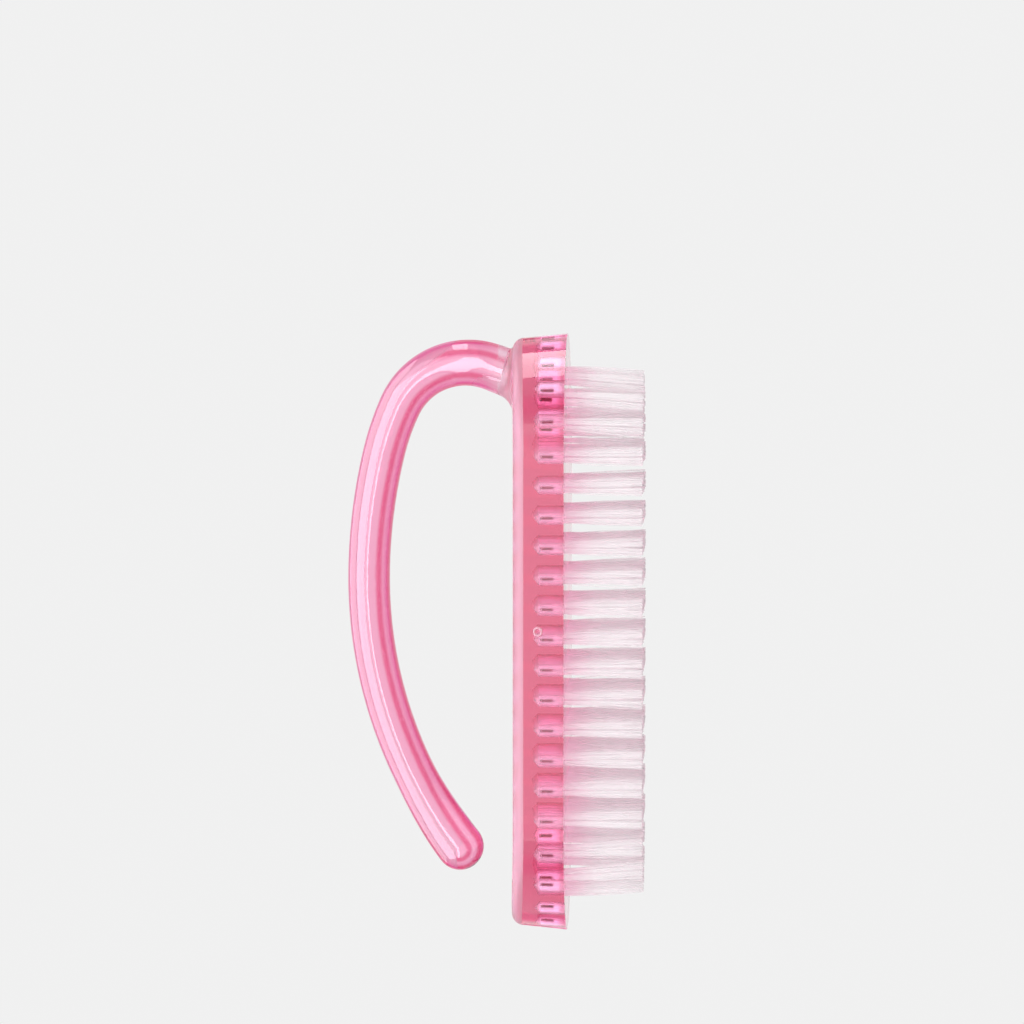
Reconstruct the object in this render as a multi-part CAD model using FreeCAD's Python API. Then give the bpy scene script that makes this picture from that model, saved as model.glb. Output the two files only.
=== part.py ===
import FreeCAD, Part
import math
import os

# Nail brush: one clear moulding, a block with an open arched handle, set with stapled tufts.
# The frame has +Z up through the handle, z = 0 at the bristle tips, x = y = 0 at the middle of the block
# and the handle's root at the +X end. Lengths are in millimetres, angles in degrees.

# Block: its plan at the bristle face is a straight middle between two half rounds of the full width
block_length = 100.0
block_width = 40.0
block_height = 9.2
wall_draft = 5.6
crown_rise = 1.0
back_round = 2.0

# Ring-shaped gate mark on the side wall, a half-round bead
gate_diameter = 1.7
gate_bead = 0.45
gate_height = 4.2
gate_offset = 1.6

# Centre line of the handle, from its root on the back to its free end
root_setback = 6.95
root_lean = 21.0
root_run = 3.4
arch_radius = 12.4
shoulder_radius = 43.0
shoulder_angle = 10.9
bow_radius = 90.0
bow_angle = 13.7
tail_radius = 74.0
tail_angle = 37.45

# Section of the handle: thickness in the plane of the bow, width across it, round at the free end
root_thickness = 8.0
root_width = 9.6
grip_thickness = 7.0
grip_width = 8.8
end_diameter = 8.0
root_taper = 30.0
end_swell = 16.0
root_sink = 2.5
root_fillet_outside = 0.5
root_fillet_inside = 3.6
taper_steps = 3
grip_steps = 1
swell_steps = 4

# Tufts: nested ovals, parallel to the outline of the face
bristle_length = 12.8
tuft_pitch = 5.0
edge_inset = 6.5
ring_count = 3
hole_diameter = 2.2
hole_depth = 4.9
hole_tip = 0.9
tuft_clearance = 0.05
tip_diameter = 3.1
end_lean = 1.2

# Flat wire anchor across each tuft
anchor_thickness = 0.34
anchor_height = 2.1
anchor_bite = 0.35
anchor_depth = 1.7
anchor_chamfer = 0.3
anchor_clearance = 0.02

# How far a cutting tool runs past the face that it cuts, and how close an edge lies to a line that it is on
overrun = 1.0
on_line = 0.001

# Worked out from the values above
half_width = block_width / 2
straight_length = block_length - block_width
face_z = bristle_length
back_z = face_z + block_height
back_half_width = half_width - block_height * math.tan(math.radians(wall_draft))
crown_radius = (back_half_width ** 2 + crown_rise ** 2) / (2 * crown_rise)
root_x = block_length / 2 - root_setback
root_heading = 90 - root_lean
arch_angle = 180 - bow_angle - shoulder_angle - root_heading
outer_ring = half_width - edge_inset
# The innermost oval lies half a step from the middle line
ring_step = outer_ring / (ring_count - 0.5)
hole_radius = hole_diameter / 2
anchor_width = hole_diameter + 2 * anchor_bite

UP = FreeCAD.Vector(0, 0, 1)
ALONG = FreeCAD.Vector(1, 0, 0)
ACROSS = FreeCAD.Vector(0, 1, 0)

# Runs of the handle's centre line as length and turn
runs = [
    (root_sink + root_run, 0),
    (arch_radius * math.radians(arch_angle), arch_angle),
    (shoulder_radius * math.radians(shoulder_angle), shoulder_angle),
    (bow_radius * math.radians(bow_angle), bow_angle),
    (tail_radius * math.radians(tail_angle), tail_angle),
]
handle_length = sum(length for length, turn in runs)


def vec(x, y, z):
    return FreeCAD.Vector(x, y, z)


def smooth(share):
    """Ease a share from 0 to 1 with level ends."""
    held = min(max(share, 0), 1)
    return held * held * (3 - 2 * held)


def centre_line(distance):
    """Give x, z and the heading in degrees at a distance along the handle."""
    heading = root_heading
    x = root_x - root_sink * math.cos(math.radians(heading))
    z = back_z - root_sink * math.sin(math.radians(heading))
    for length, turn in runs:
        step = min(distance, length)
        turned = turn * step / length
        start = math.radians(heading)
        end = math.radians(heading + turned)
        if turn:
            radius = length / math.radians(turn)
            x += radius * (math.sin(end) - math.sin(start))
            z += radius * (math.cos(start) - math.cos(end))
        else:
            x += step * math.cos(start)
            z += step * math.sin(start)
        heading += turned
        distance -= step
    return x, z, heading


def handle_section(distance):
    """Oval wire across the handle at a distance along it, in an inner and an outer half."""
    root_share = smooth(1 - distance / root_taper)
    end_share = smooth(1 - (handle_length - distance) / end_swell)
    thickness = grip_thickness + (root_thickness - grip_thickness) * root_share
    thickness += (end_diameter - grip_thickness) * end_share
    width = grip_width + (root_width - grip_width) * root_share
    width += (end_diameter - grip_width) * end_share
    x, z, heading = centre_line(distance)
    angle = math.radians(heading)
    across_bow = vec(-math.sin(angle), 0, math.cos(angle))
    along_bow = vec(math.cos(angle), 0, math.sin(angle))
    quarter = math.pi / 2
    oval = Part.Ellipse(vec(0, 0, 0), max(width, thickness) / 2, thickness / 2)
    section = Part.Wire([oval.toShape(-quarter, quarter), oval.toShape(quarter, 3 * quarter)])
    turned = FreeCAD.Rotation(ACROSS, across_bow, along_bow, "ZXY")
    section.Placement = FreeCAD.Placement(vec(x, 0, z), turned)
    return section


def handle_spine(first, last):
    """Centre line of the handle between two distances along it, a line or an arc for each run."""
    edges = []
    start = 0
    for length, turn in runs:
        low = max(first, start)
        high = min(last, start + length)
        if high - low > on_line:
            stations = [centre_line(low + (high - low) * share) for share in (0, 0.5, 1)]
            entry, middle, leave = [vec(x, 0, z) for x, z, heading in stations]
            edges.append(Part.Arc(entry, middle, leave).toShape() if turn else Part.makeLine(entry, leave))
        start += length
    return Part.Wire(edges)


def handle_span(first, last, steps):
    """Part of the rod between two distances, swept through sections in equal steps."""
    sweep = Part.BRepOffsetAPI.MakePipeShell(handle_spine(first, last))
    sweep.setBiNormalMode(ACROSS)
    for step in range(steps + 1):
        sweep.add(handle_section(first + (last - first) * step / steps))
    sweep.build()
    sweep.makeSolid()
    return sweep.shape()


def handle_rod():
    """Rod from inside the block to the free end: tapered root, even grip, swelling end and half ball."""
    swell_start = handle_length - end_swell
    root = handle_span(0, root_taper, taper_steps)
    grip = handle_span(root_taper, swell_start, grip_steps)
    end = handle_span(swell_start, handle_length, swell_steps)
    x, z, heading = centre_line(handle_length)
    angle = math.radians(heading)
    outward = vec(math.cos(angle), 0, math.sin(angle))
    ball = Part.makeSphere(end_diameter / 2, vec(x, 0, z), outward, 0, 90, 360)
    return root.fuse([grip, end, ball])


def block_blank():
    """Drafted block with a crowned back and a rounded back edge, before the holes."""
    half_straight = straight_length / 2
    corners = [
        vec(-half_straight, -half_width, face_z),
        vec(-half_straight, half_width, face_z),
        vec(-half_straight, back_half_width, back_z),
        vec(-half_straight, -back_half_width, back_z),
    ]
    section = Part.Face(Part.makePolygon(corners + corners[:1]))
    middle = section.extrude(ALONG * straight_length)
    ends = [
        Part.makeCone(half_width, back_half_width, block_height, vec(x, 0, face_z))
        for x in (-half_straight, half_straight)
    ]
    drafted = middle.fuse(ends).removeSplitter()
    crown_axis = vec(-block_length / 2 - overrun, 0, back_z - crown_radius)
    crown = Part.makeCylinder(crown_radius, block_length + 2 * overrun, crown_axis, ALONG)
    crowned = drafted.common(crown)
    top = max(crowned.Faces, key=lambda face: face.CenterOfMass.z)
    return crowned.makeFillet(back_round, top.Edges)


def root_fillet(point):
    """Fillet radius at a point of the root, growing from the outside of the arch to the inside."""
    inside_share = smooth((root_x + root_thickness / 2 - point.x) / root_thickness)
    return root_fillet_outside + (root_fillet_inside - root_fillet_outside) * inside_share


def rooted(block, rod):
    """Join the handle to the block and blend the edge between them."""
    joined = block.fuse(rod)
    meeting = block.section(rod)
    document = FreeCAD.newDocument("root")
    base = document.addObject("Part::Feature", "base")
    base.Shape = joined
    blend = document.addObject("Part::Fillet", "blend")
    blend.Base = base
    blended = []
    for number, edge in enumerate(joined.Edges, start=1):
        middle = edge.valueAt((edge.FirstParameter + edge.LastParameter) / 2)
        if meeting.distToShape(Part.Vertex(middle))[0] < on_line:
            start, end = edge.firstVertex().Point, edge.lastVertex().Point
            blended.append((number, root_fillet(start), root_fillet(end)))
    blend.Edges = blended
    document.recompute()
    return blend.Shape.copy()


def gate_mark():
    """Ring near the middle of the side wall, half sunk in the drafted wall."""
    draft = math.radians(wall_draft)
    out = vec(0, -math.cos(draft), math.sin(draft))
    seat = vec(gate_offset, -half_width + gate_height * math.tan(draft), face_z + gate_height)
    return Part.makeTorus((gate_diameter - gate_bead) / 2, gate_bead / 2, seat, out)


def bullet(radius, depth, tip):
    """Blind hole's form above the face, a straight bore with a cone at its end."""
    bore = Part.makeCylinder(radius, depth - tip, vec(0, 0, face_z))
    cone = Part.makeCone(radius, 0, tip, vec(0, 0, face_z + depth - tip))
    return bore.fuse(cone)


def anchor_plate(clearance):
    """Flat anchor across a tuft, its inner corners cut off, grown by a clearance all round."""
    half = anchor_width / 2 + clearance
    low = face_z + anchor_depth - clearance
    high = face_z + anchor_depth + anchor_height + clearance
    corners = [
        vec(0, -half, low),
        vec(0, half, low),
        vec(0, half, high - anchor_chamfer),
        vec(0, half - anchor_chamfer, high),
        vec(0, -half + anchor_chamfer, high),
        vec(0, -half, high - anchor_chamfer),
    ]
    thickness = anchor_thickness + 2 * clearance
    plate = Part.Face(Part.makePolygon(corners + corners[:1])).extrude(ALONG * thickness)
    return plate.translated(ALONG * (-thickness / 2))


def tuft_hole():
    """Tool for one hole and the pocket that its anchor presses into the wall."""
    mouth = Part.makeCylinder(hole_radius, overrun, vec(0, 0, face_z - overrun))
    pocket = anchor_plate(anchor_clearance)
    return bullet(hole_radius, hole_depth, hole_tip).fuse([mouth, pocket]).removeSplitter()


def tuft(lean):
    """One folded bundle: it fills its hole round the anchor and flares to flat tips."""
    radius = hole_radius - tuft_clearance
    mouth = Part.Wire(Part.Circle(vec(0, 0, face_z), UP, radius).toShape())
    tips = Part.Wire(Part.Circle(lean, UP, tip_diameter / 2).toShape())
    flare = Part.makeLoft([tips, mouth], True, True)
    fold = bullet(radius, hole_depth - tuft_clearance, hole_tip)
    return fold.fuse(flare).removeSplitter().cut(anchor_plate(anchor_clearance))


def ring_radii():
    """Distances of the ovals from the middle line, outermost first."""
    return [outer_ring - ring_step * ring for ring in range(ring_count)]


def straight_lines():
    """Places of the tufts in each line across the straight middle."""
    steps = int(round(straight_length / tuft_pitch))
    pitch = straight_length / steps
    for step in range(steps + 1):
        x = -straight_length / 2 + pitch * step
        yield [vec(x, side * radius, 0) for radius in ring_radii() for side in (-1, 1)]


def end_arc(radius, end):
    """Places of the tufts round one half-round end, with the outward direction at each."""
    # Each oval closes round the end with one tuft or more
    steps = max(int(round(math.pi * radius / tuft_pitch)), 2)
    for step in range(1, steps):
        angle = math.pi * step / steps
        out = vec(end * math.sin(angle), math.cos(angle), 0)
        yield vec(end * straight_length / 2, 0, 0) + out * radius, out


def tuft_groups():
    """Each group's name with the places and leans of its tufts."""
    level = vec(0, 0, 0)
    for number, places in enumerate(straight_lines(), start=1):
        yield "line_%02d" % number, [(place, level) for place in places]
    for end, end_name in ((1, "root_end"), (-1, "tail_end")):
        for radius, ring_name in zip(ring_radii(), ("outer", "middle", "inner")):
            lean = end_lean if ring_name == "outer" else 0
            yield end_name + "_" + ring_name, [
                (place, out * -lean) for place, out in end_arc(radius, end)
            ]


def moulded_body(places):
    """The clear moulding with a hole and an anchor pocket at each place."""
    body = rooted(block_blank(), handle_rod()).fuse(gate_mark())
    hole = tuft_hole()
    return body.cut([hole.translated(place) for place in places])


def main():
    os.makedirs("parts", exist_ok=True)
    groups = list(tuft_groups())
    places = [place for name, tufts in groups for place, lean in tufts]
    moulded_body(places).exportStep("parts/moulded_body.step")
    straight_tuft = tuft(vec(0, 0, 0))
    anchor = anchor_plate(0)
    for name, tufts in groups:
        bundles = [
            (tuft(lean) if lean.Length else straight_tuft).translated(place) for place, lean in tufts
        ]
        anchors = [anchor.translated(place) for place, lean in tufts]
        Part.makeCompound(bundles).exportStep("parts/tufts_%s.step" % name)
        Part.makeCompound(anchors).exportStep("parts/anchors_%s.step" % name)


main()
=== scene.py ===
"""Nail brush in clear pink plastic: finishes, bristles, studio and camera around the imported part.

The part stands on its bristle tips at z = 0 with its handle upwards and the handle's root at the +X end.
Lengths are in metres, angles in degrees.
"""

from __future__ import annotations

import logging
import math
from dataclasses import dataclass, field
from enum import Enum
from typing import Any, ClassVar

import bmesh
import bpy
import numpy as np
from mathutils import Matrix, Vector


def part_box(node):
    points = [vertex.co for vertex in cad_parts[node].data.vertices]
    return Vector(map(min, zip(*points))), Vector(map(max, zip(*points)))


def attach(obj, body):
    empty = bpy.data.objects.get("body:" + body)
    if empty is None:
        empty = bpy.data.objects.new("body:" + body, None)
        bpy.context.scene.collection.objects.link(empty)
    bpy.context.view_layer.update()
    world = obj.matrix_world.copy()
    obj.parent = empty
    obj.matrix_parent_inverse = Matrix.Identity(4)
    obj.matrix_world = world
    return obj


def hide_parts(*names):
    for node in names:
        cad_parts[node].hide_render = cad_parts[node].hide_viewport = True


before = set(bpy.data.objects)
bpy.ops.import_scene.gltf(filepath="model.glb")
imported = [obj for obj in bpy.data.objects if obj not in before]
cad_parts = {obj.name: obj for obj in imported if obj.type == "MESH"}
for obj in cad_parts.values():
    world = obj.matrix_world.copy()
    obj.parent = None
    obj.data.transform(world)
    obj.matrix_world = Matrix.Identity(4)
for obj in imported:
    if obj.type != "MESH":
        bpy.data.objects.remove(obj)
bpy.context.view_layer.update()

log = logging.getLogger("nail_brush")

MM = 0.001
ROOT = "root"
BODY_NODE = "moulded_body"
TUFT_PREFIX = "tufts_"
ANCHOR_PREFIX = "anchors_"
BRISTLE_PREFIX = "bristles_"
FIRST_LINE = "line_01"
WELD = 0.001 * MM
NEAR = 0.01 * MM
ORDER_DIGITS = 5

Colour = tuple[float, float, float]
Triple = tuple[float, float, float]
Span = tuple[float, float]
Stops = list[tuple[float, Colour]]


class Slot(Enum):
    """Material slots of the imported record."""

    CLEAR_PINK = "clear_pink_plastic"
    NYLON = "bristle_nylon"
    WIRE = "anchor_wire"


class Rays(Enum):
    """Kinds of ray that a lamp can be hidden from, as the names of an object's visibility switches."""

    CAMERA = "visible_camera"
    DIFFUSE = "visible_diffuse"
    TRANSMISSION = "visible_transmission"


MIRROR_ONLY = (Rays.CAMERA, Rays.DIFFUSE, Rays.TRANSMISSION)


def opaque(colour: Colour) -> tuple[float, float, float, float]:
    """A colour with full cover, as colour sockets take it."""
    return (*colour, 1.0)


def face_height() -> float:
    """Height of the block's bristle face, which is the length of the bristles."""
    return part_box(BODY_NODE)[0].z


@dataclass(frozen=True)
class Signal:
    """One output of a node. Arithmetic on it adds Math nodes to its sheet."""

    sheet: Sheet
    socket: bpy.types.NodeSocket

    def _maths(self, operation: str, first: Any, second: Any) -> Signal:
        """Add a Math node.

        Args:
            operation: Name of the node's operation.
            first: First value or signal.
            second: Second value or signal.

        Returns:
            The node's result.
        """
        return self.sheet.add("ShaderNodeMath", {"operation": operation}, {0: first, 1: second})

    def __add__(self, other: Any) -> Signal:
        """This plus another."""
        return self._maths("ADD", self, other)

    __radd__ = __add__

    def __sub__(self, other: Any) -> Signal:
        """This minus another."""
        return self._maths("SUBTRACT", self, other)

    def __rsub__(self, other: Any) -> Signal:
        """Another minus this."""
        return self._maths("SUBTRACT", other, self)

    def __mul__(self, other: Any) -> Signal:
        """This times another."""
        return self._maths("MULTIPLY", self, other)

    __rmul__ = __mul__

    def clamped(self) -> Signal:
        """This held between 0 and 1."""
        return self.sheet.add("ShaderNodeClamp", {}, {"Value": self})

    def size(self) -> Signal:
        """This without its sign."""
        return self._maths("ABSOLUTE", self, 0.0)

    def at_least(self, floor: float) -> Signal:
        """This, or a least value where it is smaller."""
        return self._maths("MAXIMUM", self, floor)

    def below(self, limit: float) -> Signal:
        """1 where this is under a limit, else 0."""
        return self._maths("LESS_THAN", self, limit)

    def eased(self, start: float, end: float) -> Signal:
        """Smooth step from 0 at a start value to 1 at an end value.

        Args:
            start: Where the step leaves 0.
            end: Where it reaches 1.

        Returns:
            The step.
        """
        sockets = {"Value": self, "From Min": start, "From Max": end}
        return self.sheet.add("ShaderNodeMapRange", {"interpolation_type": "SMOOTHSTEP"}, sockets)


class Sheet:
    """The node tree of one finish."""

    def __init__(self, tree: bpy.types.NodeTree) -> None:
        """Take over a tree and empty it.

        Args:
            tree: Node tree of a material or a world.
        """
        self.tree = tree
        tree.nodes.clear()

    def add(
        self,
        kind: str,
        settings: dict[str, Any],
        sockets: dict[str | int, Any],
        output: str | int = 0,
    ) -> Signal | None:
        """Add a node, set it up and connect it.

        Args:
            kind: The node's type.
            settings: Attributes that are set first; stops gives a ramp's places and colours.
            sockets: Values or signals for the inputs, by name or number.
            output: Which output to give back.

        Returns:
            That output, or None for a node without outputs.
        """
        node = self.tree.nodes.new(kind)
        for name, value in settings.items():
            if name == "stops":
                self._set_stops(node.color_ramp, value)
            else:
                setattr(node, name, value)
        for name, value in sockets.items():
            if isinstance(value, Signal):
                self.tree.links.new(value.socket, node.inputs[name])
            else:
                node.inputs[name].default_value = value
        return Signal(self, node.outputs[output]) if node.outputs else None

    @staticmethod
    def _set_stops(ramp: bpy.types.ColorRamp, stops: Stops) -> None:
        """Give a colour ramp its stops.

        Args:
            ramp: The ramp.
            stops: Places from 0 to 1, each with its colour.
        """
        while len(ramp.elements) < len(stops):
            ramp.elements.new(1.0)
        for element, (place, colour) in zip(ramp.elements, stops):
            element.position = place
            element.color = opaque(colour)

    def place(self) -> Signal:
        """Position on the object, which is the position in the part's frame."""
        return self.add("ShaderNodeTexCoord", {}, {}, "Object")

    def axis(self, vector: Signal, name: str) -> Signal:
        """One coordinate of a vector, by the name of its axis."""
        return self.add("ShaderNodeSeparateXYZ", {}, {0: vector}, name)

    def noise(self, scale: float, detail: float, stretch: Triple = (1.0, 1.0, 1.0)) -> Signal:
        """Smooth noise over the surface.

        Args:
            scale: Cells per metre.
            detail: Number of finer layers.
            stretch: Factors on the position along X, Y and Z.

        Returns:
            The noise's value.
        """
        settings = {"vector_type": "POINT"}
        spread = self.add("ShaderNodeMapping", settings, {"Vector": self.place(), "Scale": stretch})
        sockets = {"Vector": spread, "Scale": scale, "Detail": detail}
        return self.add("ShaderNodeTexNoise", {}, sockets, "Fac")

    def ramp(self, value: Signal, stops: Stops) -> Signal:
        """Colour from a value.

        Args:
            value: The value.
            stops: Places from 0 to 1, each with its colour.

        Returns:
            The colour.
        """
        return self.add("ShaderNodeValToRGB", {"stops": stops}, {"Fac": value}, "Color")

    def mix(self, share: Signal, first: Any, second: Any) -> Signal:
        """Blend two colours.

        Args:
            share: Share of the second colour, from 0 to 1.
            first: Colour at 0.
            second: Colour at 1.

        Returns:
            The blended colour.
        """
        settings = {"data_type": "RGBA", "clamp_factor": True}
        return self.add("ShaderNodeMix", settings, {0: share, 6: first, 7: second}, 2)

    def bump(self, height: Signal, depth: float) -> Signal:
        """Normal that follows a height.

        Args:
            height: Height from 0 to 1.
            depth: Real depth of a height of 1.

        Returns:
            The bumped normal.
        """
        return self.add("ShaderNodeBump", {}, {"Height": height, "Distance": depth, "Strength": 1.0})


def new_material(name: str) -> tuple[bpy.types.Material, Sheet]:
    """Make an empty material.

    Args:
        name: Its name.

    Returns:
        The material and its sheet.
    """
    made = bpy.data.materials.new(name)
    made.use_nodes = True
    return made, Sheet(made.node_tree)


@dataclass(frozen=True)
class ClearPlastic:
    """Glossy clear plastic, dyed pink in the mass, with faint flow marks from the mould.

    Heights are measured from the block's bristle face. The walls of the drilled holes are dull. The rounded
    back edge is a little rough and carries a painted highlight, and the gate's ring is a frosted mark with a
    painted highlight. Painted shade deepens the pink where the surface turns away from view.
    """

    name: str = "clear_pink"
    pale: Colour = (1.0, 0.93, 0.96)
    deep: Colour = (1.0, 0.90, 0.94)
    # painted shade: deeper pink where the block's surface turns away from view
    rim_painted_shade: Colour = (1.0, 0.72, 0.84)
    rim_shade_facing: Span = (0.05, 0.60)
    grip: Colour = (0.99, 0.65, 0.82)
    # painted shade: much deeper pink where the handle's surface turns away from view
    grip_rim_painted_shade: Colour = (0.74, 0.07, 0.30)
    grip_heights: Span = (8.7 * MM, 14.2 * MM)
    dye: Colour = (0.93, 0.14, 0.42)
    dye_density: float = 60.0
    refraction: float = 1.56
    polish: Span = (0.012, 0.05)
    polish_scale: float = 420.0
    polish_detail: float = 4.0
    # white for the frosted gate ring and for the painted highlights on it and on the back edge
    haze_and_highlight: Colour = (0.98, 0.94, 0.96)
    drilled_roughness: float = 0.75
    drilled_reach: float = 16.5 * MM
    drilled_heights: Span = (NEAR, 5.6 * MM)
    # painted highlight: a paler tint and a share of white diffuse on the rounded back edge
    edge_highlight_tint: Colour = (0.84, 0.96, 0.98)
    edge_painted_highlight: float = 0.15
    edge_roughness: float = 0.40
    edge_start: Span = (6.1 * MM, 6.7 * MM)
    edge_end: Span = (11.2 * MM, 11.8 * MM)
    edge_slope: Span = (0.12, 0.22)
    back_slope: Span = (0.95, 0.985)
    # frosted gate ring, brightened further as a painted highlight
    gate_haze_and_highlight: float = 0.28
    gate_offset: float = 1.6 * MM
    gate_height: float = 4.2 * MM
    gate_radius: float = 0.625 * MM
    gate_bead: float = 0.45 * MM
    gate_depth: float = 0.9 * MM
    flow_scale: float = 140.0
    flow_detail: float = 2.0
    flow_stretch: Triple = (0.35, 1.0, 1.0)
    flow_tones: Span = (0.35, 0.65)
    flow_depth: float = 0.02 * MM

    def material(self) -> bpy.types.Material:
        """Make the material.

        Returns:
            The material with its nodes.
        """
        made, sheet = new_material(self.name)
        flow = sheet.noise(self.flow_scale, self.flow_detail, self.flow_stretch)
        edge = self._edge(sheet)
        plastic = sheet.add(
            "ShaderNodeBsdfPrincipled",
            {},
            {
                "Base Color": self._tint(sheet, flow, edge),
                "Roughness": self._roughness(sheet, edge),
                "IOR": self.refraction,
                "Transmission Weight": 1.0,
                "Normal": sheet.bump(flow, self.flow_depth),
            },
        )
        hazed_and_highlit = sheet.add("ShaderNodeBsdfDiffuse", {}, {"Color": opaque(self.haze_and_highlight)})
        # share of white diffuse: painted highlight on the back edge, and a frosted mark with painted
        # highlight on the gate ring
        share = edge * self.edge_painted_highlight + self._gate(sheet) * self.gate_haze_and_highlight
        surface = sheet.add("ShaderNodeMixShader", {}, {0: share, 1: plastic, 2: hazed_and_highlit})
        dyed = {"Color": opaque(self.dye), "Density": self.dye_density}
        inside = sheet.add("ShaderNodeVolumeAbsorption", {}, dyed)
        sheet.add("ShaderNodeOutputMaterial", {}, {"Surface": surface, "Volume": inside})
        return made

    def _tint(self, sheet: Sheet, flow: Signal, edge: Signal) -> Signal:
        """Tint of the surface, deeper on the handle, with painted shade that deepens the pink where the
        surface turns away from view and a painted highlight that pales the rounded back edge.

        Args:
            sheet: The material's sheet.
            flow: The flow marks.
            edge: Mask of the rounded back edge.

        Returns:
            The colour.
        """
        pale_at, deep_at = self.flow_tones
        block = sheet.ramp(flow, [(pale_at, self.pale), (deep_at, self.deep)])
        on_grip = self._height(sheet).eased(*self.grip_heights)
        middle = sheet.mix(on_grip, block, opaque(self.grip))
        # painted shade at the rims, deeper on the handle
        side = sheet.mix(on_grip, opaque(self.rim_painted_shade), opaque(self.grip_rim_painted_shade))
        rim_shade_share = sheet.add("ShaderNodeLayerWeight", {}, {}, "Facing").eased(*self.rim_shade_facing)
        return sheet.mix(edge, sheet.mix(rim_shade_share, middle, side), opaque(self.edge_highlight_tint))

    def _roughness(self, sheet: Sheet, edge: Signal) -> Signal:
        """Roughness: polished outside, softer on the back edge and dull in the holes.

        Args:
            sheet: The material's sheet.
            edge: Mask of the rounded back edge.

        Returns:
            The roughness.
        """
        smooth, worn = self.polish
        polished = sheet.noise(self.polish_scale, self.polish_detail) * (worn - smooth) + smooth
        outside = edge * self.edge_roughness + (1.0 - edge) * polished
        drilled = self._drilled(sheet)
        return drilled * self.drilled_roughness + (1.0 - drilled) * outside

    @staticmethod
    def _height(sheet: Sheet) -> Signal:
        """Height over the block's bristle face."""
        return sheet.axis(sheet.place(), "Z") - face_height()

    def _edge(self, sheet: Sheet) -> Signal:
        """Mask of the rounded back edge and the foot of the handle.

        Args:
            sheet: The material's sheet.

        Returns:
            1 on the rounding, else 0.
        """
        height = self._height(sheet)
        slope = sheet.axis(sheet.add("ShaderNodeNewGeometry", {}, {}, "Normal"), "Z").size()
        band = height.eased(*self.edge_start) * (1.0 - height.eased(*self.edge_end))
        return band * slope.eased(*self.edge_slope) * (1.0 - slope.eased(*self.back_slope))

    def _gate(self, sheet: Sheet) -> Signal:
        """Mask of the ring that the gate left on the front wall.

        Args:
            sheet: The material's sheet.

        Returns:
            1 on the ring, else 0.
        """
        place = sheet.place()
        along = sheet.axis(place, "X") - self.gate_offset
        up = self._height(sheet) - self.gate_height
        apart = along * along + up * up
        outer = self.gate_radius + self.gate_bead / 2
        inner = self.gate_radius - self.gate_bead / 2
        ring = apart.below(outer**2) - apart.below(inner**2)
        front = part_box(BODY_NODE)[0].y + self.gate_depth
        return ring * sheet.axis(place, "Y").below(front)

    def _drilled(self, sheet: Sheet) -> Signal:
        """Mask of the walls of the tuft holes.

        Args:
            sheet: The material's sheet.

        Returns:
            1 in the holes, else 0.
        """
        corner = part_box(BODY_NODE)[1]
        half_straight = corner.x - corner.y
        place = sheet.place()
        beyond = (sheet.axis(place, "X").size() - half_straight).at_least(0.0)
        across = sheet.axis(place, "Y")
        from_middle = beyond * beyond + across * across
        height = self._height(sheet)
        mouth, bottom = self.drilled_heights
        in_holes = height.below(bottom) - height.below(mouth)
        return in_holes * from_middle.below(self.drilled_reach**2)


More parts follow.
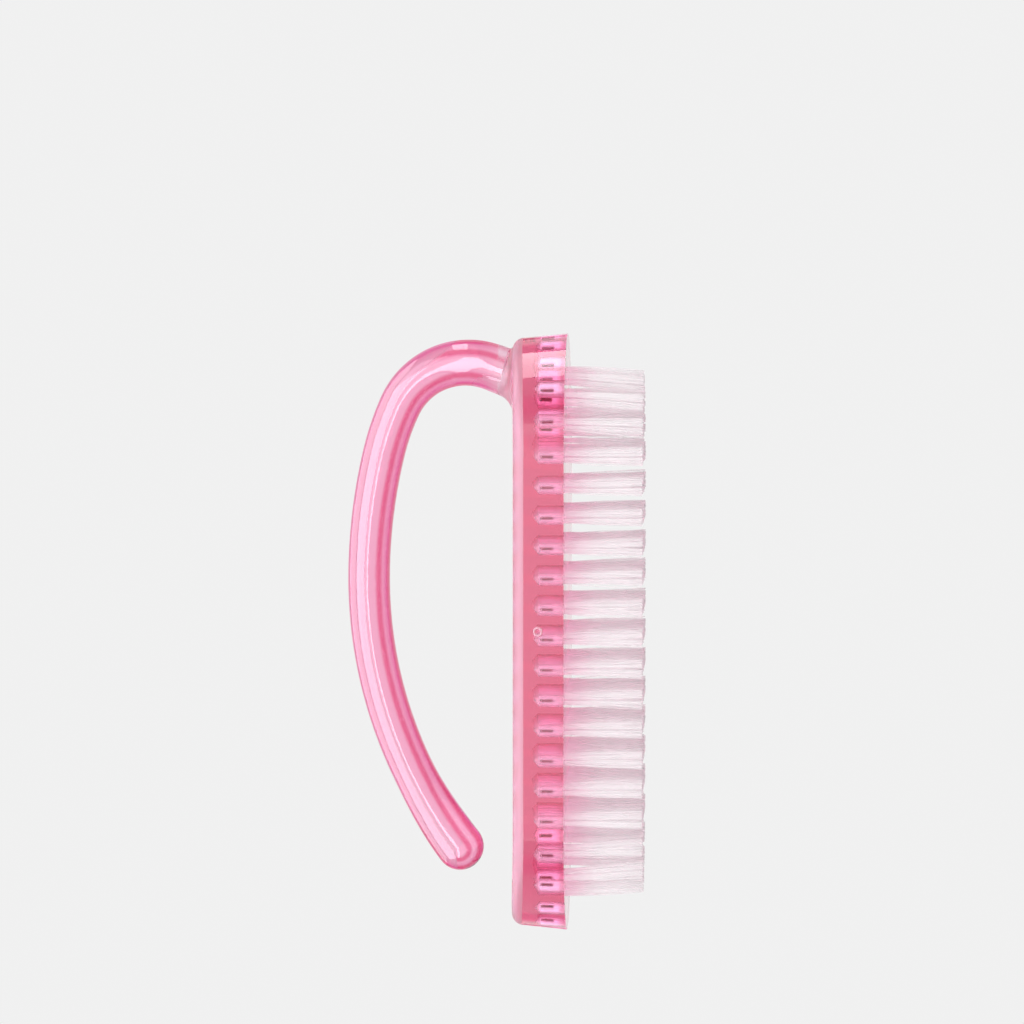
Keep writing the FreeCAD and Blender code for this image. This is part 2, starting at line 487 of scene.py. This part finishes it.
@dataclass(frozen=True)
class BristleNylon:
    """Translucent white nylon filament, each one a little different from its neighbours.

    The filaments carry a painted glow, a faint emission that brightens them in place of light, more in the
    holes and most in the inner rows, and painted pink light towards the block. The heights of both are
    shares of the bristle length.
    """

    name: str = "white_nylon"
    bright: Colour = (0.985, 0.98, 0.982)
    dull: Colour = (0.95, 0.935, 0.94)
    tones: Span = (0.1, 0.8)
    own_share: float = 0.7
    # painted pink light from the block on the filaments near the face and in the holes
    painted_pink_light: Colour = (0.99, 0.87, 0.92)
    painted_pink_light_shares: Span = (0.55, 1.06)
    cover: float = 0.35
    # painted glow: an emission that stands in for light reaching the filaments; they are no lamp
    painted_glow_strength: float = 0.30
    free_glow: Colour = (0.205, 0.21, 0.212)
    held_glow: Colour = (0.56, 0.44, 0.60)
    inner_glow: Colour = (1.10, 1.25, 1.60)
    glow_shares: Span = (1.0, 1.09)
    glow_rows: Span = (9.0 * MM, 13.0 * MM)
    refraction: float = 1.53
    roughness: Span = (0.24, 0.44)
    streak_scale: float = 2600.0
    streak_detail: float = 3.0
    streak_stretch: Triple = (1.0, 1.0, 0.04)
    streak_depth: float = 0.012 * MM

    def material(self) -> bpy.types.Material:
        """Make the material.

        Returns:
            The material with its nodes.
        """
        made, sheet = new_material(self.name)
        streak = sheet.noise(self.streak_scale, self.streak_detail, self.streak_stretch)
        smooth, rough = self.roughness
        surface = sheet.add(
            "ShaderNodeBsdfPrincipled",
            {},
            {
                "Base Color": self._colour(sheet, streak),
                "Roughness": streak * (rough - smooth) + smooth,
                "IOR": self.refraction,
                "Alpha": self.cover,
                "Emission Color": self._painted_glow(sheet),
                "Emission Strength": self.painted_glow_strength,
                "Normal": sheet.bump(streak, self.streak_depth),
            },
        )
        sheet.add("ShaderNodeOutputMaterial", {}, {"Surface": surface})
        return made

    @staticmethod
    def _over(sheet: Sheet, shares: Span) -> Signal:
        """Step over a range of heights, given as shares of the bristle length."""
        start, end = (share * face_height() for share in shares)
        return sheet.axis(sheet.place(), "Z").eased(start, end)

    def _colour(self, sheet: Sheet, streak: Signal) -> Signal:
        """White that differs between filaments, with painted pink light towards the pink block.

        Args:
            sheet: The material's sheet.
            streak: Streaks along the filaments.

        Returns:
            The colour.
        """
        own = sheet.add("ShaderNodeNewGeometry", {}, {}, "Random Per Island")
        tone = own * self.own_share + streak * (1.0 - self.own_share)
        dull_at, bright_at = self.tones
        white = sheet.ramp(tone, [(dull_at, self.dull), (bright_at, self.bright)])
        # painted pink light towards the block
        return sheet.mix(self._over(sheet, self.painted_pink_light_shares), white, opaque(self.painted_pink_light))

    def _painted_glow(self, sheet: Sheet) -> Signal:
        """Colour of the painted glow.

        Args:
            sheet: The material's sheet.

        Returns:
            The colour.
        """
        # painted glow, strongest in the inner rows in the holes
        outward = sheet.axis(sheet.place(), "Y").size().eased(*self.glow_rows)
        in_hole = sheet.mix(outward, opaque(self.inner_glow), opaque(self.held_glow))
        return sheet.mix(self._over(sheet, self.glow_shares), opaque(self.free_glow), in_hole)


@dataclass(frozen=True)
class AnchorSteel:
    """Flat drawn wire, dull and a little darker along its drawing marks, with the pink light and shade of
    its hole painted into its colour.
    """

    name: str = "anchor_steel"
    # painted pink light and shade of the hole, not the steel's own colour
    bright: Colour = (0.42, 0.09, 0.17)
    dark: Colour = (0.24, 0.045, 0.09)
    tones: Span = (0.3, 0.7)
    roughness: Span = (0.28, 0.58)
    draw_scale: float = 5000.0
    draw_detail: float = 4.0
    draw_stretch: Triple = (1.0, 0.05, 1.0)
    draw_depth: float = 0.01 * MM

    def material(self) -> bpy.types.Material:
        """Make the material.

        Returns:
            The material with its nodes.
        """
        made, sheet = new_material(self.name)
        marks = sheet.noise(self.draw_scale, self.draw_detail, self.draw_stretch)
        dark_at, bright_at = self.tones
        smooth, rough = self.roughness
        surface = sheet.add(
            "ShaderNodeBsdfPrincipled",
            {},
            {
                "Base Color": sheet.ramp(marks, [(dark_at, self.dark), (bright_at, self.bright)]),
                "Metallic": 1.0,
                "Roughness": marks * (rough - smooth) + smooth,
                "Normal": sheet.bump(marks, self.draw_depth),
            },
        )
        sheet.add("ShaderNodeOutputMaterial", {}, {"Surface": surface})
        return made


@dataclass(frozen=True)
class PaleFloor:
    """Pale studio floor that is seen only from above and fades out into the backdrop."""

    name: str = "pale_floor"
    colour: Colour = (0.93, 0.93, 0.93)
    fade: Span = (0.20, 0.75)

    def material(self) -> bpy.types.Material:
        """Make the material.

        Returns:
            The material with its nodes.
        """
        made, sheet = new_material(self.name)
        below = sheet.add("ShaderNodeNewGeometry", {}, {}, "Backfacing")
        reach = sheet.add("ShaderNodeVectorMath", {"operation": "LENGTH"}, {0: sheet.place()}, "Value")
        gone = (below + reach.eased(*self.fade)).clamped()
        top = sheet.add("ShaderNodeBsdfDiffuse", {}, {"Color": opaque(self.colour)})
        clear = sheet.add("ShaderNodeBsdfTransparent", {}, {})
        shown = sheet.add("ShaderNodeMixShader", {}, {0: gone, 1: top, 2: clear})
        sheet.add("ShaderNodeOutputMaterial", {}, {"Surface": shown})
        return made


def dress(piece: bpy.types.Object, material: bpy.types.Material) -> None:
    """Give a piece one material all over.

    Args:
        piece: A mesh object.
        material: Its new material.
    """
    piece.data.materials.clear()
    piece.data.materials.append(material)


def solids_of(piece: bpy.types.Object) -> list[np.ndarray]:
    """Find the separate solids of a node.

    Args:
        piece: The node's object.

    Returns:
        The vertex positions of each solid.
    """
    joined = bmesh.new()
    joined.from_mesh(piece.data)
    bmesh.ops.remove_doubles(joined, verts=joined.verts, dist=WELD)
    left = set(joined.verts)
    solids = []
    while left:
        reached = [left.pop()]
        for vertex in reached:
            for edge in vertex.link_edges:
                beyond = edge.other_vert(vertex)
                if beyond in left:
                    left.remove(beyond)
                    reached.append(beyond)
        solids.append(np.array([vertex.co for vertex in reached]))
    joined.free()
    return sorted(solids, key=lambda cloud: tuple(np.round(cloud.mean(0), ORDER_DIGITS)))


@dataclass
class MouldedBody:
    """Block and handle in one clear moulding."""

    finish: ClearPlastic = field(default_factory=ClearPlastic)
    node: str = BODY_NODE

    def build(self) -> bpy.types.Object:
        """Take the body from the frame and dress it.

        Returns:
            The body.
        """
        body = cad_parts[self.node]
        dress(body, self.finish.material())
        return body


@dataclass
class Anchors:
    """Flat wire anchors that hold the tufts down."""

    finish: AnchorSteel = field(default_factory=AnchorSteel)

    def build(self) -> list[bpy.types.Object]:
        """Take the anchors from the frame and dress them.

        Returns:
            One object for each group of anchors.
        """
        material = self.finish.material()
        groups = [piece for name, piece in sorted(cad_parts.items()) if name.startswith(ANCHOR_PREFIX)]
        for group in groups:
            dress(group, material)
        return groups


@dataclass
class Tuft:
    """Where one bundle stands: the axis and mouth of its hole, and the middle and spread of its tips."""

    hole: np.ndarray
    mouth_radius: float
    tips: np.ndarray
    tip_radius: float

    @classmethod
    def from_solid(cls, cloud: np.ndarray, face: float) -> Tuft:
        """Read a bundle's place from its solid.

        Args:
            cloud: Vertex positions of the solid.
            face: Height of the block's face.

        Returns:
            The tuft.
        """
        hole = cloud[np.argmax(cloud[:, 2]), :2]
        mouth = cloud[np.abs(cloud[:, 2] - face) < NEAR, :2]
        low = cloud[cloud[:, 2] < NEAR, :2]
        tips = low.mean(0)
        return cls(
            hole,
            float(np.linalg.norm(mouth - hole, axis=1).max()),
            tips,
            float(np.linalg.norm(low - tips, axis=1).max()),
        )


@dataclass
class Bristles:
    """Nylon filaments, each folded over the anchor in its hole with two legs that end at the tips."""

    finish: BristleNylon = field(default_factory=BristleNylon)
    filament: float = 0.17 * MM
    spacing: float = 0.185 * MM
    tip_bevel: float = 0.07 * MM
    tip_share: float = 0.55
    tip_ragged: float = 0.22 * MM
    ragged_power: int = 2
    tip_wander: float = 0.16 * MM
    bow: float = 0.16 * MM
    flare_power: float = 1.25
    fold_rise: float = 0.6
    sides: int = 5
    seed: int = 7
    LEG_SHARES: ClassVar[tuple[float, ...]] = (0.72, 0.42, 0.16, 0.0)
    FOLD_ANGLES: ClassVar[tuple[float, ...]] = (0.0, 45.0, 90.0)

    def build(self) -> list[bpy.types.Object]:
        """Make one piece of filaments for each group of tufts.

        Returns:
            The pieces, each standing for its node.
        """
        material = self.finish.material()
        draw = np.random.default_rng(self.seed)
        face = face_height()
        pieces = []
        for name, node in sorted(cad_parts.items()):
            if not name.startswith(TUFT_PREFIX):
                continue
            group = name[len(TUFT_PREFIX):]
            anchor_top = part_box(ANCHOR_PREFIX + group)[1].z
            lines = [
                self._filaments(Tuft.from_solid(cloud, face), face, anchor_top, draw)
                for cloud in solids_of(node)
            ]
            piece = self._piece(BRISTLE_PREFIX + group, np.concatenate(lines))
            dress(piece, material)
            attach(piece, ROOT)
            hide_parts(name)
            pieces.append(piece)
        return pieces

    def _stations(self, tuft: Tuft) -> np.ndarray:
        """Places of the legs in the hole, on one side of the anchor.

        Args:
            tuft: The tuft.

        Returns:
            Offsets from the hole's axis, across the anchor and along it.
        """
        # All anchors are alike, and those of one line stand at one X.
        anchor_low, anchor_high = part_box(ANCHOR_PREFIX + FIRST_LINE)
        first = (anchor_high.x - anchor_low.x) / 2 + self.filament / 2
        reach = tuft.mouth_radius - self.filament / 2
        row_step = self.spacing * math.sqrt(3) / 2
        places = []
        for row in range(int((reach - first) / row_step) + 1):
            across = first + row * row_step
            half = math.sqrt(max(reach**2 - across**2, 0.0))
            shift = self.spacing / 2 * (row % 2)
            count = int(half / self.spacing) + 1
            for step in range(-count, count + 1):
                along = step * self.spacing + shift
                if abs(along) <= half:
                    places.append((across, along))
        return np.array(places)

    def _filaments(
        self, tuft: Tuft, face: float, anchor_top: float, draw: np.random.Generator
    ) -> np.ndarray:
        """Centre lines of one tuft's filaments.

        Args:
            tuft: The tuft.
            face: Height of the block's face.
            anchor_top: Height of the anchor's upper edge.
            draw: Source of the small differences.

        Returns:
            Points by filament, station along it and axis.
        """
        places = self._stations(tuft)
        count = len(places)
        legs = [self._leg(tuft, places, side, face, draw) for side in (-1, 1)]
        fold = []
        for angle in self.FOLD_ANGLES:
            turn = math.radians(angle)
            fold.append((-math.cos(turn), math.sin(turn)))
        fold += [(-across, up) for across, up in reversed(fold[:-1])]
        over = np.zeros((count, len(fold), 3))
        for station, (across, up) in enumerate(fold):
            over[:, station, 0] = tuft.hole[0] + across * places[:, 0]
            over[:, station, 1] = tuft.hole[1] + places[:, 1]
            over[:, station, 2] = anchor_top + up * self.fold_rise * places[:, 0]
        return np.concatenate([legs[0], over, legs[1][:, ::-1]], axis=1)

    def _leg(
        self, tuft: Tuft, places: np.ndarray, side: int, face: float, draw: np.random.Generator
    ) -> np.ndarray:
        """Points of the legs on one side of the anchor, from the tips to the mouth of the hole.

        Args:
            tuft: The tuft.
            places: Offsets in the hole.
            side: Which side of the anchor, -1 or 1.
            face: Height of the block's face.
            draw: Source of the small differences.

        Returns:
            Points by leg, station and axis.
        """
        count = len(places)
        offset = places * (side, 1)
        wander = draw.normal(0.0, self.tip_wander, (count, 2))
        tip = tuft.tips + offset * (tuft.tip_radius / tuft.mouth_radius) + wander
        mouth = tuft.hole + offset
        height = self.tip_ragged * draw.random(count) ** self.ragged_power
        bow = draw.normal(0.0, self.bow, (count, 2))
        stations = [1.0, 1.0 - self.tip_bevel / face, *self.LEG_SHARES]
        points = np.zeros((count, len(stations), 3))
        for station, share in enumerate(stations):
            spread = share**self.flare_power
            points[:, station, :2] = mouth + (tip - mouth) * spread + bow * math.sin(math.pi * share)
            points[:, station, 2] = face + (height - face) * share
        return points

    def _piece(self, name: str, lines: np.ndarray) -> bpy.types.Object:
        """Sweep a round section along each centre line.

        Args:
            name: The piece's name.
            lines: Points by filament, station and axis.

        Returns:
            The mesh object.
        """
        count, stations, _ = lines.shape
        along = np.gradient(lines, axis=1)
        along /= np.linalg.norm(along, axis=2, keepdims=True)
        anchor_line = np.array((0.0, 1.0, 0.0))
        side = anchor_line - along * along[:, :, 1:2]
        side /= np.linalg.norm(side, axis=2, keepdims=True)
        other = np.cross(along, side)
        radius = np.full(stations, self.filament / 2)
        radius[[0, -1]] *= self.tip_share
        turns = np.arange(self.sides) * 2 * math.pi / self.sides
        ring = np.cos(turns)[:, None] * side[:, :, None] + np.sin(turns)[:, None] * other[:, :, None]
        points = (lines[:, :, None] + ring * radius[None, :, None, None]).reshape(-1, 3)
        start = np.arange(count)[:, None, None] * stations * self.sides
        row = start + np.arange(stations - 1)[None, :, None] * self.sides
        here = np.arange(self.sides)[None, None, :]
        beside = (here + 1) % self.sides
        walls = np.stack(
            [row + here, row + beside, row + self.sides + beside, row + self.sides + here], axis=-1
        ).reshape(-1, 4)
        first = start[:, 0] + np.arange(self.sides)[None, ::-1]
        last = start[:, 0] + (stations - 1) * self.sides + np.arange(self.sides)[None, :]
        mesh = bpy.data.meshes.new(name)
        mesh.from_pydata(points.tolist(), [], walls.tolist() + first.tolist() + last.tolist())
        mesh.polygons.foreach_set("use_smooth", [True] * len(walls) + [False] * (2 * count))
        piece = bpy.data.objects.new(name, mesh)
        bpy.context.scene.collection.objects.link(piece)
        return piece


@dataclass(frozen=True)
class Softbox:
    """Rectangular studio lamp that faces a point."""

    name: str
    place: Triple
    aim: Triple
    width: float
    height: float
    radiance: float
    colour: Colour = (1.0, 1.0, 1.0)
    hidden_from: tuple[Rays, ...] = (Rays.CAMERA,)

    def build(self) -> bpy.types.Object:
        """Hang the lamp.

        Returns:
            The lamp.
        """
        lamp = bpy.data.lights.new(self.name, "AREA")
        lamp.shape = "RECTANGLE"
        lamp.size = self.width
        lamp.size_y = self.height
        lamp.energy = self.radiance * math.pi * self.width * self.height
        lamp.color = self.colour
        hung = bpy.data.objects.new(self.name, lamp)
        bpy.context.scene.collection.objects.link(hung)
        back = (Vector(self.place) - Vector(self.aim)).normalized()
        level = Vector((-back.y, back.x, 0.0)).normalized()
        up = back.cross(level).normalized()
        turn = Matrix((up.cross(back), up, back)).transposed()
        hung.matrix_world = Matrix.Translation(self.place) @ turn.to_4x4()
        for rays in self.hidden_from:
            setattr(hung, rays.value, False)
        return hung


@dataclass
class Studio:
    """Pale floor, soft lamps and a pale surround.

    Clear and glossy surfaces see the surround in bands. A band's place is how far a direction points to the
    front or the back, from 0 to 1.
    """

    lilac: Colour = (0.86, 0.88, 1.0)
    cool: Colour = (0.92, 0.95, 0.98)
    floor_finish: PaleFloor = field(default_factory=PaleFloor)
    floor_side: float = 6.0
    floor_drop: float = 0.02 * MM
    backdrop: Colour = (0.875, 0.875, 0.875)
    fill: Colour = (0.78, 0.78, 0.78)
    overhead: Colour = (0.86, 0.86, 0.86)
    overhead_end: float = 0.42
    gap: Colour = (0.84, 0.31, 0.46)
    outer_gap: Span = (0.52, 0.70)
    inner_gap: Span = (0.925, 0.955)
    bright: Colour = (0.95, 0.95, 0.95)
    bright_band: Span = (0.80, 0.885)
    bright_middle: float = 0.98

    def build(self) -> None:
        """Set up the floor, the lamps and the surround."""
        self._floor()
        for lamp in self._lamps():
            lamp.build()
        self._surround()

    def _floor(self) -> None:
        """Lay the floor just under the bristle tips."""
        half = self.floor_side / 2
        corners = [(-half, -half), (half, -half), (half, half), (-half, half)]
        mesh = bpy.data.meshes.new("floor")
        mesh.from_pydata([(x, y, -self.floor_drop) for x, y in corners], [], [range(len(corners))])
        floor = bpy.data.objects.new("floor", mesh)
        bpy.context.scene.collection.objects.link(floor)
        dress(floor, self.floor_finish.material())

    def _lamps(self) -> list[Softbox]:
        """Choose the lamps.

        Returns:
            Two lamps that light the brush, and panels that only show as reflections: a long one for the band
            on the handle with its dimmer end, one for the back edge, a low strip for the arch and a window
            for the end of the block.
        """
        return [
            Softbox(
                name="overhead",
                place=(0.20, -0.35, 0.75),
                aim=(0.0, 0.0, 0.02),
                width=0.7,
                height=0.6,
                radiance=0.8,
            ),
            Softbox(
                name="front",
                place=(0.05, -0.8, 0.22),
                aim=(0.0, 0.0, 0.01),
                width=0.9,
                height=0.42,
                radiance=1.5,
            ),
            Softbox(
                name="panel",
                place=(-0.22, -0.369, 0.519),
                aim=(-0.22, 0.0, 0.046),
                width=1.3,
                height=0.6,
                radiance=6.0,
                colour=self.lilac,
                hidden_from=MIRROR_ONLY,
            ),
            Softbox(
                name="panel_end",
                place=(0.68, -0.369, 0.519),
                aim=(0.68, 0.0, 0.046),
                width=0.5,
                height=0.6,
                radiance=2.4,
                colour=self.lilac,
                hidden_from=MIRROR_ONLY,
            ),
            Softbox(
                name="top_panel",
                place=(0.0, 0.22, 0.62),
                aim=(0.0, 0.0, 0.022),
                width=1.4,
                height=0.55,
                radiance=3.0,
                colour=self.cool,
                hidden_from=MIRROR_ONLY,
            ),
            Softbox(
                name="low_panel",
                place=(-0.10, -0.85, 0.085),
                aim=(0.03, 0.0, 0.05),
                width=1.7,
                height=0.15,
                radiance=6.0,
                colour=self.lilac,
                hidden_from=MIRROR_ONLY,
            ),
            Softbox(
                name="end",
                place=(0.824, 0.16, 0.15),
                aim=(0.04, 0.0, 0.018),
                width=0.55,
                height=0.14,
                radiance=4.4,
                colour=self.cool,
                hidden_from=MIRROR_ONLY,
            ),
        ]

    def _surround(self) -> None:
        """Hang a plain backdrop for the camera and bright and pink bands for clear and glossy surfaces."""
        world = bpy.data.worlds.new("surround")
        world.use_nodes = True
        sheet = Sheet(world.node_tree)
        camera = sheet.add("ShaderNodeLightPath", {}, {}, "Is Camera Ray")
        glossy = sheet.add("ShaderNodeLightPath", {}, {}, "Is Glossy Ray")
        through = sheet.add("ShaderNodeLightPath", {}, {}, "Is Transmission Ray")
        seen = (glossy + through).clamped()
        heading = sheet.add("ShaderNodeTexCoord", {}, {}, "Generated")
        facing = sheet.axis(heading, "Y").size()
        stops = [(self.overhead_end, self.overhead)]
        stops += [(place, self.gap) for place in self.outer_gap]
        stops += [(place, self.bright) for place in self.bright_band]
        stops += [(place, self.gap) for place in self.inner_gap]
        stops.append((self.bright_middle, self.bright))
        others = sheet.mix(seen, opaque(self.fill), sheet.ramp(facing, stops))
        colour = sheet.mix(camera, others, opaque(self.backdrop))
        light = sheet.add("ShaderNodeBackground", {}, {"Color": colour, "Strength": 1.0})
        sheet.add("ShaderNodeOutputWorld", {}, {"Surface": light})
        bpy.context.scene.world = world


@dataclass(frozen=True)
class PhotoCamera:
    """Camera where the photograph was taken from, turned so that the part's +X end is up."""

    place: Triple = (0.065, -0.794, -0.015)
    aim: Triple = (0.0201, 0.0, 0.02215)
    up: Triple = (1.0, 0.0, 0.0)
    frame_width: float = 171.4 * MM
    sensor: float = 36.0
    clip: Span = (0.01, 20.0)

    def build(self) -> bpy.types.Object:
        """Set up the camera.

        Returns:
            The camera.
        """
        data = bpy.data.cameras.new("photo_camera")
        camera = bpy.data.objects.new("photo_camera", data)
        bpy.context.scene.collection.objects.link(camera)
        back = Vector(self.place) - Vector(self.aim)
        distance = back.length
        back.normalize()
        right = Vector(self.up).cross(back).normalized()
        turn = Matrix((right, back.cross(right), back)).transposed()
        camera.matrix_world = Matrix.Translation(self.place) @ turn.to_4x4()
        data.sensor_width = self.sensor
        data.lens = self.sensor * distance / self.frame_width
        data.clip_start, data.clip_end = self.clip
        bpy.context.scene.camera = camera
        return camera


@dataclass(frozen=True)
class RenderCare:
    """How far light is followed through the clear block, and how colours are shown."""

    bounces: int = 40
    clear_bounces: int = 160
    diffuse_bounces: int = 20
    glossy_bounces: int = 12

    def build(self) -> None:
        """Set the limits and the plain colour view."""
        scene = bpy.context.scene
        scene.view_settings.view_transform = "Standard"
        scene.cycles.max_bounces = self.bounces
        scene.cycles.transmission_bounces = self.bounces
        scene.cycles.transparent_max_bounces = self.clear_bounces
        scene.cycles.diffuse_bounces = self.diffuse_bounces
        scene.cycles.glossy_bounces = self.glossy_bounces


def main() -> None:
    """Build and dress the brush, then set up the studio and the camera."""
    logging.basicConfig(level=logging.INFO, format="%(name)s: %(message)s")
    body = MouldedBody().build()
    log.info("dressed %s", body.name)
    for group in Anchors().build():
        log.info("dressed %s", group.name)
    for piece in Bristles().build():
        log.info("made %s with %d faces", piece.name, len(piece.data.polygons))
    Studio().build()
    PhotoCamera().build()
    RenderCare().build()


if __name__ == "__main__":
    main()
